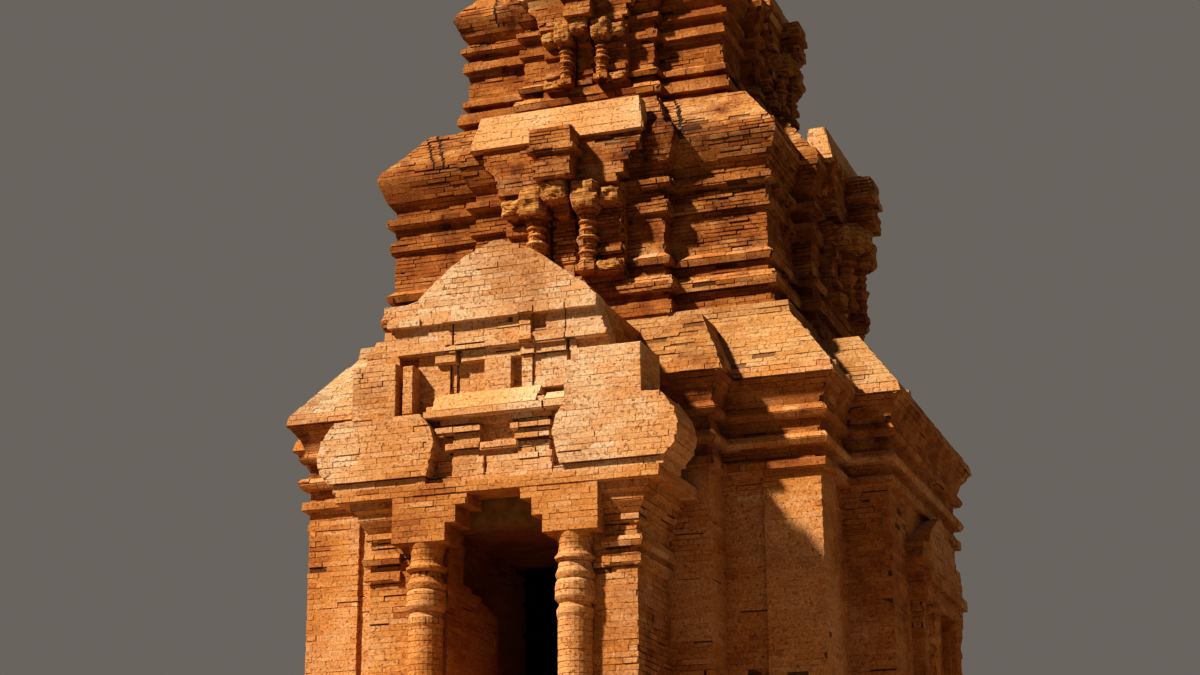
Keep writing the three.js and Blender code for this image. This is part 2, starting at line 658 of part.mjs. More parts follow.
// A tier's niche, from its plinth up: a loose panel in the opening, ringed posts, rounded capitals, a tympanum
// that widens in steps, a block that hangs over the opening and a sloping hood.
function tierNiche({ wall, foot, unit }) {
  const u = (value) => value * unit;
  const z = (value) => foot + u(value);
  const back = -wall;
  const front = (out) => -(wall + u(out));
  const slab = (x0, x1, z0, z1, out) => box(u(x0), u(x1), front(out), back, z(z0), z(z1));
  const face = (points, out) => frontal(points.map(([x, up]) => [u(x), z(up)]), front(out), back);
  const plinthTop = 110;
  const capitalFoot = 930;
  const capitalTop = 1290;
  const tympanumTop = 1960;
  const hoodTop = 2460;
  const tympanum = [[750, capitalTop], [750, 1400], [840, 1400], [840, 1580], [930, 1580], [930, 1680], [1010, 1680],
    [1010, 1780], [1080, 1780], [1080, tympanumTop + 1], [-1100, tympanumTop + 1], [-1070, 1700], [-930, 1590],
    [-870, 1320], [-870, capitalTop]];
  const hoodRing = (left, right, out, up) => {
    const points = [[u(-left), front(out)], [u(right), front(out)], [u(right), back], [u(-left), back]];
    return { points, z: z(up) };
  };
  const hood = stacked([hoodRing(1270, 1130, 330, tympanumTop), hoodRing(1150, 1040, 210, hoodTop)]);
  const pieces = [
    slab(-830, 830, 0, plinthTop, 120),
    slab(-800, -230, plinthTop - 1, capitalTop + 1, 150),
    slab(230, 800, plinthTop - 1, capitalTop + 1, 150),
    slab(-240, 240, plinthTop - 1, capitalTop + 1, 20),
    slab(-160, 120, plinthTop - 1, 910, 110),
    slab(-810, 810, 1140, capitalTop + 1, 190),
    face(tympanum, 270),
    slab(-300, 240, 1700, 2010, 620),
    slab(-330, 285, 1690, 1750, 645),
    slab(-225, 225, 1530, 1700, 580),
    slab(-255, 230, 1340, 1540, 620),
    face(boulder(-200, 130, 1060, 1345), 480),
    slab(-90, 110, 900, 1070, 290),
    hood,
  ];
  [-1, 1].forEach((side) => {
    const span = (x0, x1) => (side > 0 ? [x0, x1] : [-x1, -x0]);
    const pair = (x0, x1, z0, z1, out) => slab(...span(x0, x1), z0, z1, out);
    const stone = (x0, x1, z0, z1, out) => face(boulder(...span(x0, x1), z0, z1), out);
    pieces.push(ringedPost(side * u(352), front(250), u(118), z(plinthTop - 1), z(capitalFoot + 10)));
    pieces.push(stone(200, 520, capitalFoot - 10, capitalTop, 430));
    pieces.push(stone(510, 790, 980, 1180, 330));
    pieces.push(pair(420, 780, 100, 240, 240));
    pieces.push(pair(430, 770, 360, 430, 215));
    pieces.push(pair(430, 780, 740, 850, 215));
  });
  return join(...pieces);
}

// A false door of the cella: a blind leaf between ringed posts under a low pediment with lobed ends.
function falseDoor() {
  const back = -bayReach;
  const front = (out) => back - out;
  const foot = floorLevel;
  const pieces = [
    box(-1150, 1150, front(300), back, foot, foot + 260),
    box(-1100, -560, front(150), back, foot + 250, 3900),
    box(560, 1100, front(150), back, foot + 250, 3900),
    box(-570, 570, front(60), back, foot + 250, 3700),
    box(-60, 60, front(110), front(50), foot + 250, 3700),
    box(-1180, 1180, front(230), back, 3660, 3900),
    box(-1240, 1240, front(290), back, 3890, 4010),
    frontal([[-1240, 4000], [1240, 4000], [1330, 4180], [1240, 4380], [900, 4420], [640, 4640], [260, 4820],
      [0, 4900], [-260, 4820], [-640, 4640], [-900, 4420], [-1240, 4380], [-1330, 4180]], front(220), back),
  ];
  [-1, 1].forEach((side) => pieces.push(ringedPost(side * 720, front(170), 110, foot + 240, 3680)));
  return join(...pieces);
}

const sides = [['front', 0], ['right', 1], ['back', 2], ['left', 3]];

function exactQuarter(geometry, quarters) {
  const whole = welded(geometry);
  const place = whole.attributes.position;
  for (let i = 0; i < place.count; i += 1) {
    const x = place.getX(i);
    const y = place.getY(i);
    place.setXY(i, ...[[x, y], [-y, x], [-x, -y], [y, -x]][quarters]);
  }
  return whole;
}

sides.slice(1).forEach(([side, quarters]) => add('false_door_' + side, exactQuarter(falseDoor(), quarters)));
sides.forEach(([side, quarters]) => {
  tiers.slice(0, 2).forEach((tier, i) => {
    const unit = i ? 0.74 : 1;
    const body = stacked(moulding(tierPlan(tier), grown(tierSteps(tier, tierBase))));
    const cornice = stacked(moulding(tierPlan(tier), grown(tierSteps(tier, tierCornice))));
    const niche = tierNiche({ wall: tier.reach, foot: tier.base + 0.2 * tier.height, unit });
    const roof = stacked(tierRoof(tier, seatGap * 2));
    add(`${tier.name}_niche_${side}`, exactQuarter(cut(niche, body, cornice, roof), quarters));
  });
});

export default temple;
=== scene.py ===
import json
import math
from itertools import count, takewhile
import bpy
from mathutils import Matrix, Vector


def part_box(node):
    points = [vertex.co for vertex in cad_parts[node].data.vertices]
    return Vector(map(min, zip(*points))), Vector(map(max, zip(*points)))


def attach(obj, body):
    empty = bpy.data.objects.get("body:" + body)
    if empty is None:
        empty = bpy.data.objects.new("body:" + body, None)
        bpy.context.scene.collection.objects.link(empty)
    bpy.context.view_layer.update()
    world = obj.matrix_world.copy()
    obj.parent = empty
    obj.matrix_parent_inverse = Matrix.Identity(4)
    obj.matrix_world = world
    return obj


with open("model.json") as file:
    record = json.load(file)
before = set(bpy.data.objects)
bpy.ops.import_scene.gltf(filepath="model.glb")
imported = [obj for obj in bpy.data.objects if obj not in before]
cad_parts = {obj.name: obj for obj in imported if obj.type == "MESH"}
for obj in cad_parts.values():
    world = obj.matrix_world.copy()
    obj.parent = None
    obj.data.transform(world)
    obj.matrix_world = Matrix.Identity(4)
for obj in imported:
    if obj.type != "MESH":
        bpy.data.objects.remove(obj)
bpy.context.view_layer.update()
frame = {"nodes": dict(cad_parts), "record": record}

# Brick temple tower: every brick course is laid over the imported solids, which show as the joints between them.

from types import SimpleNamespace

import bmesh
import bpy
import numpy as np
from mathutils import Matrix, Vector, noise
from mathutils.bvhtree import BVHTree

cadNodes = frame["nodes"]
scene = bpy.context.scene
upAxis = Vector((0, 0, 1))


# Small helpers
def clamp(value, low=0.0, high=1.0):
    return min(high, max(low, value))


# Noise at a spot, summed over layers of scale and share
def layeredNoise(spot, layers):
    return sum(share * noise.noise(spot * scale) for scale, share in layers)


def addNode(tree, kind, inputs=None, **settings):
    node = tree.nodes.new(kind)
    for key, value in settings.items():
        setattr(node, key, value)
    for key, value in (inputs or {}).items():
        if isinstance(value, bpy.types.NodeSocket):
            tree.links.new(value, node.inputs[key])
        else:
            node.inputs[key].default_value = value
    return node


def mathNode(tree, operation, first, second=0.0, clamped=False):
    return addNode(tree, "ShaderNodeMath", {0: first, 1: second}, operation=operation, use_clamp=clamped).outputs[0]


def split(tree, value):
    return addNode(tree, "ShaderNodeSeparateXYZ", {0: value}).outputs


def ramp(tree, factor, stops):
    node = addNode(tree, "ShaderNodeValToRGB", {0: factor})
    band = node.color_ramp
    while len(band.elements) < len(stops):
        band.elements.new(0.5)
    for element, (place, colour) in zip(band.elements, stops):
        element.position = place
        element.color = (*colour, 1)
    return node.outputs[0]


def stretch(tree, value, low, high, toLow=0.0, toHigh=1.0):
    inputs = {0: value, 1: low, 2: high, 3: toLow, 4: toHigh}
    return addNode(tree, "ShaderNodeMapRange", inputs, interpolation_type="SMOOTHSTEP").outputs[0]


def blendColour(tree, factor, first, second, mode="MIX"):
    node = addNode(tree, "ShaderNodeMix", data_type="RGBA", blend_type=mode)
    for socket, value in ((node.inputs[0], factor), (node.inputs[6], first), (node.inputs[7], second)):
        if isinstance(value, bpy.types.NodeSocket):
            tree.links.new(value, socket)
        elif isinstance(value, tuple):
            socket.default_value = (*value, 1)
        else:
            socket.default_value = value
    return node.outputs[2]


def noiseAt(tree, place, scale, detail, roughness):
    inputs = {"Vector": place, "Scale": scale, "Detail": detail, "Roughness": roughness}
    return addNode(tree, "ShaderNodeTexNoise", inputs).outputs["Fac"]


# Brick finish. A noise is given by scale, detail and roughness, a range by what goes in and what comes out.
finish = {
    "deep": (0.36, 0.125, 0.032),
    "orange": (0.55, 0.25, 0.074),
    "pale": (0.635, 0.355, 0.168),
    "buff": (0.68, 0.46, 0.275),
    "old": (0.25, 0.078, 0.015),
    # Black of soot, also used as painted shade in open cracks and recesses
    "sootAndShade": (0.035, 0.018, 0.011),
    "lichen": (0.50, 0.31, 0.09),
    "shades": ((0.0, "deep"), (0.38, "orange"), (0.75, "pale"), (1.0, "buff")),
    "roughness": 0.88,
    "specular": 0.25,
    "clouds": (0.55, 3.0, 0.55),
    "cloudRange": (0.3, 0.7, -0.22, 0.22),
    "patches": (3.1, 5.0, 0.62),
    "wearRange": (0.32, 0.66, 0.25, 1.0),
    "sootRange": (0.56, 0.72, 0.0, 0.75),
    "crackRange": (1.1, 1.9, 0.0, 1.0),  # past an age of 1, brick turns black: the painted shade of open cracks and of the darkest blackened areas
    "pocks": (26.0, 3.0, 0.65),
    "pockRange": (0.56, 0.68, 0.0, 0.7),
    "grain": (38.0, 4.0, 0.7),
    "grainRange": (0.35, 0.7, 0.75, 1.15),
    "pits": (110.0, 3.0, 0.6),
    "pitShare": 0.5,
    "bump": (0.8, 0.009),  # strength and depth
}


def startMaterial(name):
    material = bpy.data.materials.new(name)
    material.use_nodes = True
    tree = material.node_tree
    shader = tree.nodes["Principled BSDF"]
    shader.inputs["Roughness"].default_value = finish["roughness"]
    shader.inputs["Specular IOR Level"].default_value = finish["specular"]
    place = addNode(tree, "ShaderNodeTexCoord").outputs["Object"]
    return material, tree, shader, place


def coat(tree, shader, colour, height, strength, distance):
    tree.links.new(colour, shader.inputs["Base Color"])
    bump = addNode(tree, "ShaderNodeBump", {"Height": height, "Strength": strength, "Distance": distance})
    tree.links.new(bump.outputs[0], shader.inputs["Normal"])


# The colour of fired brick and its relief: tone picks the brick's own shade, age darkens and soots it. For laid
# bricks, tone and age also carry painted light and shade from ledges, cracks and the blackened areas on the right of
# tier 1.
def brickColour(tree, place, tone, age):
    clouds, patches, pocks, grain = (noiseAt(tree, place, *finish[key])
                                     for key in ("clouds", "patches", "pocks", "grain"))
    shade = mathNode(tree, "ADD", tone, stretch(tree, clouds, *finish["cloudRange"]))
    colour = ramp(tree, shade, [(stop, finish[key]) for stop, key in finish["shades"]])
    worn = mathNode(tree, "MULTIPLY", age, stretch(tree, patches, *finish["wearRange"]), clamped=True)
    colour = blendColour(tree, worn, colour, finish["old"])
    sooty = mathNode(tree, "MULTIPLY", stretch(tree, patches, *finish["sootRange"]), age)
    colour = blendColour(tree, sooty, colour, finish["sootAndShade"])
    colour = blendColour(tree, stretch(tree, age, *finish["crackRange"]), colour, finish["sootAndShade"])
    pocked = stretch(tree, pocks, *finish["pockRange"])
    colour = blendColour(tree, pocked, colour, finish["old"])
    colour = blendColour(tree, 1.0, colour, stretch(tree, grain, *finish["grainRange"]), "MULTIPLY")
    return colour, mathNode(tree, "SUBTRACT", grain, pocked)


# The roof has faded and the tiers have darkened to a redder brown.
tintOf = {
    "bricksRoof": (0.84, 0.91, 0.94),
    "bricksTierOne": (0.98, 0.95, 0.86),
    "bricksTierOneTop": (0.94, 0.93, 0.8),
    "bricksTierTwo": (1.0, 0.95, 0.78),
}


def laidBrick(name, tint=(1.0, 1.0, 1.0)):
    material, tree, shader, place = startMaterial(name)
    tone, age = (addNode(tree, "ShaderNodeAttribute", attribute_name=key).outputs["Fac"] for key in ("tone", "age"))
    colour, relief = brickColour(tree, place, tone, age)
    colour = blendColour(tree, 1.0, colour, tint, "MULTIPLY")
    pits = mathNode(tree, "MULTIPLY", noiseAt(tree, place, *finish["pits"]), finish["pitShare"])
    coat(tree, shader, colour, mathNode(tree, "ADD", relief, pits), *finish["bump"])
    return material


# The solids under the bricks: the same brick in courses, multiplied darker as painted shade because they lie deep in
# the joints.
bedding = {
    "alongY": 0.7,  # faces turned this far sideways have courses along y
    "toneSpread": 0.18,
    "mortar": 0.004,
    "mortarSmooth": 0.4,
    "mortarShare": 0.75,
    "mortarDepth": 1.5,
    "bump": (0.8, 0.008),
}
# shade is the grey that multiplies a bed's colour: painted shade for lying deep in the joints
bedOf = {
    "brick": {"name": "bedBrick", "tone": 0.5, "age": 0.3, "shade": 0.33},
    "brick_pale": {"name": "paleBedBrick", "tone": 0.62, "age": 0.12, "shade": 0.38},
    "brick_dark": {"name": "darkBedBrick", "tone": 0.4, "age": 0.5, "shade": 0.33},
}


def bedBrick(name, tone, age, shade):
    material, tree, shader, place = startMaterial(name)
    parts = split(tree, place)
    facing = split(tree, addNode(tree, "ShaderNodeNewGeometry").outputs["Normal"])
    sideways = mathNode(tree, "GREATER_THAN", mathNode(tree, "ABSOLUTE", facing[0]), bedding["alongY"])
    level = mathNode(tree, "GREATER_THAN", mathNode(tree, "ABSOLUTE", facing[2]), layout["level"])
    along = addNode(tree, "ShaderNodeMix", {0: sideways, 2: parts[0], 3: parts[1]}).outputs[0]
    rise = addNode(tree, "ShaderNodeMix", {0: level, 2: parts[2], 3: parts[1]}).outputs[0]
    wall = addNode(tree, "ShaderNodeCombineXYZ", {0: along, 1: rise}).outputs[0]
    courses = addNode(tree, "ShaderNodeTexBrick", {
        "Vector": wall, "Color1": (0, 0, 0, 1), "Color2": (1, 1, 1, 1), "Mortar": (0.5, 0.5, 0.5, 1), "Scale": 1.0,
        "Mortar Size": bedding["mortar"], "Mortar Smooth": bedding["mortarSmooth"],
        "Brick Width": layout["length"], "Row Height": layout["course"]}).outputs
    spread = bedding["toneSpread"]
    ownTone = stretch(tree, courses["Color"], 0.0, 1.0, tone - spread, tone + spread)
    colour, relief = brickColour(tree, place, ownTone, age)
    joints = mathNode(tree, "MULTIPLY", courses["Fac"], bedding["mortarShare"])
    colour = blendColour(tree, joints, colour, finish["old"])
    # Painted shade: the bed colour is multiplied by the grey shade value, as it lies deep in the joints and shows
    # where bricks are missing.
    colour = blendColour(tree, 1.0, colour, (shade, shade, shade), "MULTIPLY")
    sunk = mathNode(tree, "MULTIPLY", courses["Fac"], bedding["mortarDepth"])
    coat(tree, shader, colour, mathNode(tree, "SUBTRACT", relief, sunk), *bedding["bump"])
    return material


stone = {
    "veins": (6.0, 6.0, 0.65),
    "shades": ((0.25, (0.13, 0.065, 0.02)), (0.5, (0.24, 0.13, 0.04)), (0.8, (0.34, 0.2, 0.075))),
    "grain": (45.0, 5.0, 0.55),
    "bump": (0.6, 0.008),
}


def oldStone():
    material, tree, shader, place = startMaterial("oldStone")
    colour = ramp(tree, noiseAt(tree, place, *stone["veins"]), stone["shades"])
    coat(tree, shader, colour, noiseAt(tree, place, *stone["grain"]), *stone["bump"])
    return material


# Brick laying: each flat face of the solids is cut into courses, and each course into bricks.
layout = {
    "course": 0.067,  # height of a course with its joint
    "length": 0.275,  # usual length of a stretcher with its joint
    "bedWidth": 0.135,  # width of a brick seen from above or below
    "joint": 0.0045,
    "depth": 0.085,
    "proud": 0.012,  # how far a brick stands over the solid's face
    "proudLimits": (0.002, 0.028),
    "overhang": 1.1,  # how far a corner brick passes the corner, in shares of proud
    "cornerJoint": 0.001,
    "bond": (0.5, 0.13),  # shift of every second and third course, in shares of the length
    "stray": 0.03,  # how far a joint may lie from its place
    "endClear": 0.07,  # least distance of a joint from the end of its course
    "tallest": 1.8,  # limit for the height of a course on a slope, in courses
    "shortest": 0.035,
    "narrowest": 0.02,
    "smallestTriangle": 1e-9,
    "smallestFace": 0.004,
    "nearGround": 0.01,
    "level": 0.9,  # a face turned at least this far up or down is level
    "grid": 5000,  # corners are matched on this many points to a metre
    "flatness": 0.9998,  # least cosine between two triangles of one face
    "smallestGap": 0.002,  # narrower gaps in a course are closed
    "levels": (0.04, 0.5, 0.96),  # where a course is measured, in shares of its height
    "straightness": 0.3,  # how far a leaning end may bend, as a share of its lean
    "longestLean": 2.2,  # in heights of the course
    "seed": 11,
}

# Distances for looking around with rays
probe = {
    "start": 0.004,
    "covered": 0.02,  # another solid this close hides a brick
    "roomMargin": 0.12,
    "shares": (0.5, 0.1, 0.9),  # where a brick is looked at, in shares of its length
    "pastEnd": 0.02,
    "overEnd": 0.005,
    "fall": 0.045,
    "fromWall": 0.03,
    "ledge": 0.4,  # a ledge this close above puts a brick in painted shade
}

# Ways of laying: the old tiers have thinner courses, the ledge and the hoods large smooth slabs.
styles = {
    "rubbed": {"course": 0.067, "length": 0.275, "erosion": 1.15, "tone": 0.42, "stain": 0.0},
    "carved": {"course": 0.067, "length": 0.275, "erosion": 1.3, "tone": 0.74, "stain": 0.0},
    "roof": {"course": 0.067, "length": 0.275, "erosion": 1.5, "tone": 0.66, "stain": 0.08},
    "thin": {"course": 0.056, "length": 0.26, "erosion": 1.4, "tone": 0.42, "stain": 0.0},
    "stained": {"course": 0.056, "length": 0.26, "erosion": 2.2, "tone": 0.15, "stain": 0.5},
    "dressed": {"course": 0.13, "length": 0.7, "erosion": 0.12, "tone": 0.76, "stain": 0.0},
}
carvedParts = ("gable_wall", "upper_field", "lobe", "pediment", "porch_block")

# The hood of a niche and the blackened slope over a tier's cornice lean back between these limits.
hoodLean = (0.15, 0.6)
blackenedLean = (0.2, 0.5)

# How weathered each part is, from 0, newly repaired, to 1, the oldest brick. The first fitting start counts.
wearOf = {
    "porch_pier_right": 0.5, "porch_capital_right": 0.4, "tier1_roof": 0.8, "tier1": 0.62, "tier": 0.5,
    "body_cornice": 0.4, "side_wall": 0.3, "back_wall": 0.3, "base": 0.45, "entrance": 0.4, "main_roof": 0.26,
    "false_door": 0.4,
}
leastWear = 0.1

# Weathering of single bricks, with the painted light and shade that ledges give. A noise is given by scale, offset
# and share.
weather = {
    "wideNoise": (0.9, 0.0, 1.0),
    "fineNoise": (3.1, 7.0, 0.5),
    "noiseShare": 0.45,
    "blackeningShare": (0.35, 0.85),  # least and most
    # Painted shade under a ledge raises a brick's age and lowers its tone; painted light in the open raises its tone.
    "ledgeShadeAge": 0.28,
    "ledgeLightTone": 0.12,
    "pitWear": 0.55,
    "pitBlackening": 0.5,
    "pitNoise": (1.4, 3.0, 0.75),
    "seamNoise": ((4.3, 4.3, 9.0), 11.0, 0.55),
    "lost": (0.0003, 0.03),  # chance of a gap in sound brick, and what pits add to it
    "openJoint": (0.15, 2.6),  # width of a joint between sound bricks, and what pits add
    "uneven": (0.0008, 0.0062),
    "toneSpread": (0.07, 0.1),
    "smoothTone": 0.2,
    "chipAge": 0.45,
    "chipChance": 0.25,
    "chip": (0.01, 0.05),  # least and most
    "breakChance": 0.16,
    "breakLeast": 0.03,
    "break": (0.006, 0.3),  # least height that breaks off, and largest share
}

# Open cracks in the front of the tiers: x and z of both ends, and width.
cracks = (
    ((-2.29, 10.32), (-1.93, 9.6), 0.035),
    ((-2.15, 10.36), (-1.78, 9.6), 0.045),
    ((1.3, 10.38), (1.58, 9.6), 0.045),
    ((-1.46, 12.6), (-1.38, 12.0), 0.05),
    ((-0.92, 12.45), (-0.88, 12.15), 0.06),
)
crackShape = {
    "facing": 0.5,  # cracks open in faces turned at least this far to the front
    "straight": 0.99,
    "sway": 0.03,
    "swayStep": 3.7,
    "endClear": 0.05,
    "jointClear": 0.06,
    "belly": (0.5, 2),  # share of the width at the ends, and what the middle adds
    "ragged": (0.7, 1.2),
    # The filler behind a crack stands a little proud of the solid and is aged black: painted shade in place of the
    # crack's depth.
    "fillProud": 0.003,
    "paintedShadeAge": 2.0,
}

# Blackened areas: middle and half size. The first two, on the right of tier 1's roof, are painted shade in place of
# the deeper recess there.
blackenedAreas = (
    ((1.5, -2.65, 9.7), (0.9, 0.7, 0.34)),
    ((1.0, -2.8, 9.45), (0.35, 0.5, 0.5)),
    ((-1.7, -2.75, 9.62), (0.45, 0.4, 0.12)),
    ((2.4, -2.6, 9.55), (0.35, 0.5, 0.28)),
    ((-1.1, -2.0, 12.2), (0.4, 0.4, 0.22)),
    ((0.9, -2.0, 11.9), (0.5, 0.5, 0.3)),
)


def blackeningAt(spot):
    nearness = [1 - sum(((spot[i] - middle[i]) / half[i]) ** 2 for i in range(3)) for middle, half in blackenedAreas]
    return max(0.0, *nearness)


def styleOfFace(name, normal):
    if name == "pediment_ledge" or ("niche" in name and hoodLean[0] < normal[2] < hoodLean[1]):
        return styles["dressed"]
    if name.startswith("tier"):
        blackened = name.endswith("cornice") and blackenedLean[0] < normal[2] < blackenedLean[1]
        return styles["stained" if blackened else "thin"]
    if name.startswith(carvedParts):
        return styles["carved"]
    return styles["roof" if name == "main_roof" else "rubbed"]


def wearOfNode(name):
    return next((wear for start, wear in wearOf.items() if name.startswith(start)), leastWear)


def patchNoise(spot, scale, offset, share):
    return share * noise.noise(Vector(spot * scale + offset))


def trianglesOf(name):
    mesh = cadNodes[name].data
    mesh.calc_loop_triangles()
    spots = np.empty(len(mesh.vertices) * 3)
    mesh.vertices.foreach_get("co", spots)
    corners = np.empty(len(mesh.loop_triangles) * 3, dtype=np.int64)
    mesh.loop_triangles.foreach_get("vertices", corners)
    return spots.reshape(-1, 3)[corners].reshape(-1, 3, 3)


# Triangles that share an edge and lie in one plane, as lists of their numbers
def flatFaces(triangles, normals):
    parent = list(range(len(triangles)))

    def head(i):
        while parent[i] != i:
            parent[i] = parent[parent[i]]
            i = parent[i]
        return i

    keys = np.round(triangles * layout["grid"]).astype(np.int64)
    waiting = {}
    for i, corners in enumerate(keys.tolist()):
        corners = [tuple(corner) for corner in corners]
        for a, b in zip(corners, corners[1:] + corners[:1]):
            other = waiting.pop((b, a), None)
            if other is None:
                waiting[(a, b)] = i
            elif normals[i] @ normals[other] > layout["flatness"]:
                parent[head(i)] = head(other)
    faces = {}
    for i in range(len(triangles)):
        faces.setdefault(head(i), []).append(i)
    return list(faces.values())


# The stretches of one face that a level line crosses
def stretches(runs, rises, level):
    ends = []
    for i, j in ((0, 1), (1, 2), (2, 0)):
        gap = rises[:, j] - rises[:, i]
        crosses = (rises[:, i] < level) != (rises[:, j] < level)
        share = (level - rises[:, i]) / np.where(gap == 0, 1, gap)
        ends.append(np.where(crosses, runs[:, i] + share * (runs[:, j] - runs[:, i]), np.nan))
    ends = np.array(ends)
    ends = ends[:, ~np.all(np.isnan(ends), axis=0)]
    if not ends.size:
        return []
    found = sorted(zip(np.nanmin(ends, axis=0).tolist(), np.nanmax(ends, axis=0).tolist()))
    joined = [list(found[0])]
    for low, high in found[1:]:
        if low < joined[-1][1] + layout["smallestGap"]:
            joined[-1][1] = max(joined[-1][1], high)
        else:
            joined.append([low, high])
    return joined


# How far the end of a course leans between its lower and upper edge, if the solid's edge is straight there
def leanOf(lower, middle, upper, band):
    slant = upper - lower
    straight = abs(upper + lower - 2 * middle) < layout["straightness"] * abs(slant)
    return slant if straight and abs(slant) < layout["longestLean"] * band else 0


class Bricklayer:
    def __init__(self):
        self.chance = np.random.default_rng(layout["seed"])
        self.rows = {}
        corners = np.concatenate([trianglesOf(name) for name in cadNodes]).reshape(-1, 3)
        self.solid = BVHTree.FromPolygons(corners.tolist(), np.arange(len(corners)).reshape(-1, 3).tolist())
        openings = frame["record"]["physics"]["openings"]
        self.rooms = [np.array(o["box_m"]) for o in openings if o["name"].startswith(("chamber", "vault"))]

    # Nothing is laid inside the chamber and its vault, or on a face that another solid covers.
    def hidden(self, spot, outward):
        start = Vector(spot + outward * probe["start"])
        hit, normal, index, distance = self.solid.ray_cast(start, Vector(outward))
        if hit is not None and (normal.dot(Vector(outward)) > 0 or distance < probe["covered"]):
            return True
        margin = probe["roomMargin"]
        return any(np.all(spot > room[0] - margin) and np.all(spot < room[1] + margin) for room in self.rooms)

    # Whether the solid falls away past the end of a course
    def fallsAway(self, end, along, outward):
        start = Vector(end + along * probe["pastEnd"] + outward * probe["overEnd"])
        return self.solid.ray_cast(start, Vector(-outward), probe["fall"])[0] is None

    # Whether a ledge stands close above a course, so that its bricks get painted shade
    def underLedge(self, spot, outward):
        start = Vector(spot + outward * probe["fromWall"])
        return self.solid.ray_cast(start, upAxis, probe["ledge"])[0] is not None

    # Where the cracks cross a course of the front, with their widths
    def partedAt(self, face, start, stop, row):
        found = {}
        if face.outward[1] > -crackShape["facing"] or abs(face.along[0]) < crackShape["straight"]:
            return found
        clear = crackShape["endClear"]
        atEnds, inMiddle = crackShape["belly"]
        for upper, lower, width in cracks:
            share = (upper[1] - face.middle[2]) / (upper[1] - lower[1])
            sway = crackShape["sway"] * noise.noise(Vector((0, row * crackShape["swayStep"], upper[0])))
            place = (upper[0] + share * (lower[0] - upper[0]) + sway) * face.along[0]
            if 0 < share < 1 and start + clear < place < stop - clear:
                ragged = self.chance.uniform(*crackShape["ragged"])
                found[place] = width * (atEnds + inMiddle * share * (1 - share)) * ragged
        return found

    # How a brick has weathered: its age, how pitted it is and how far its tone shifts as painted light or shade near
    # a ledge. Age also takes painted shade under a ledge and in the blackened areas on the right of tier 1.
    def weathered(self, face, spot):
        style = face.style
        rough = patchNoise(spot, *weather["wideNoise"]) + patchNoise(spot, *weather["fineNoise"])
        age = clamp(face.wear + style["stain"] + weather["noiseShare"] * rough) * min(1.0, style["erosion"])
        # Inside a blackened area a brick ages further; on the right of tier 1 this is painted shade.
        sootAndShade = blackeningAt(spot)
        age += sootAndShade * self.chance.uniform(*weather["blackeningShare"])
        paintedLightShift = 0.0
        # Upright faces of ledged pieces: painted light in the open, painted shade with darker tone and higher age
        # under a ledge.
        if face.ledged:
            paintedLightShift = weather["ledgeLightTone"]
            if self.underLedge(spot, face.outward):
                paintedLightShift = -paintedLightShift
                age = min(max(1.0, age), age + weather["ledgeShadeAge"])
        pitted = weather["pitWear"] * face.wear + weather["pitBlackening"] * sootAndShade + patchNoise(spot, *weather["pitNoise"])
        pitted += patchNoise(spot, *weather["seamNoise"])
        return age, clamp(pitted * style["erosion"]), paintedLightShift

    # The joints of a course with both its ends, and the cracks among them
    def edgesOf(self, face, start, stop, row):
        unit = face.style["length"]
        offset = layout["bond"][0] * (row % 2) + layout["bond"][1] * (row % 3)
        first = math.floor(start / unit - offset) + 1
        places = takewhile(lambda place: place < stop, ((i + offset) * unit for i in count(first)))
        stray, clear = layout["stray"], layout["endClear"]
        cuts = [place + self.chance.uniform(-stray, stray) for place in places]
        parted = self.partedAt(face, start, stop, row)
        cuts = [cut for cut in cuts if start + clear < cut < stop - clear
                and all(abs(cut - crack) > crackShape["jointClear"] for crack in parted)]
        return sorted([start, *cuts, *parted, stop]), parted

    def layRow(self, face, start, stop, leans, row):
        chance, style, along, outward = self.chance, face.style, face.along, face.outward
        edges, parted = self.edgesOf(face, start, stop, row)
        corners = (self.fallsAway(face.middle + along * start, -along, outward),
                   self.fallsAway(face.middle + along * stop, along, outward))
        outer = face.bed or (row + face.parity) % 2 == 0
        reach = layout["proud"] * layout["overhang"] if outer else -layout["cornerJoint"]
        rows = self.rows.setdefault(face.piece, [])
        for i, (a, b) in enumerate(zip(edges, edges[1:])):
            atEnd = (i == 0, i == len(edges) - 2)
            atCorner = (atEnd[0] and corners[0], atEnd[1] and corners[1])
            if all(self.hidden(face.middle + along * (a + share * (b - a)), outward) for share in probe["shares"]):
                continue
            age, pitted, paintedLightShift = self.weathered(face, face.middle + along * (a + b) / 2)
            if chance.random() < weather["lost"][0] + weather["lost"][1] * pitted * pitted:
                continue
            gap = layout["joint"] * (weather["openJoint"][0] + weather["openJoint"][1] * pitted * pitted)
            left = a - reach if atCorner[0] else a + max(gap, parted.get(a, 0)) / 2
            right = b + reach if atCorner[1] else b - max(gap, parted.get(b, 0)) / 2
            if age > weather["chipAge"] and any(atCorner) and chance.random() < weather["chipChance"]:
                loss = chance.uniform(*weather["chip"])
                left += loss * atCorner[0]
                right -= loss * atCorner[1]
            if right - left < layout["narrowest"]:
                continue
            uneven = weather["uneven"][0] + weather["uneven"][1] * pitted
            proud = clamp(layout["proud"] + chance.normal(0, uneven), *layout["proudLimits"])
            height = face.band - gap
            drop = 0.0
            if chance.random() < weather["breakChance"] * pitted and height > weather["breakLeast"]:
                loss = chance.uniform(weather["break"][0], weather["break"][1] * height)
                drop = loss / 2 * chance.choice((-1, 1))
                height -= loss
            centre = face.middle + along * (left + right) / 2 + outward * (proud - layout["depth"] / 2)
            centre = centre + face.rise * drop
            spread = weather["toneSpread"][0] + weather["toneSpread"][1] * pitted
            spread *= min(1.0, style["erosion"] + weather["smoothTone"])
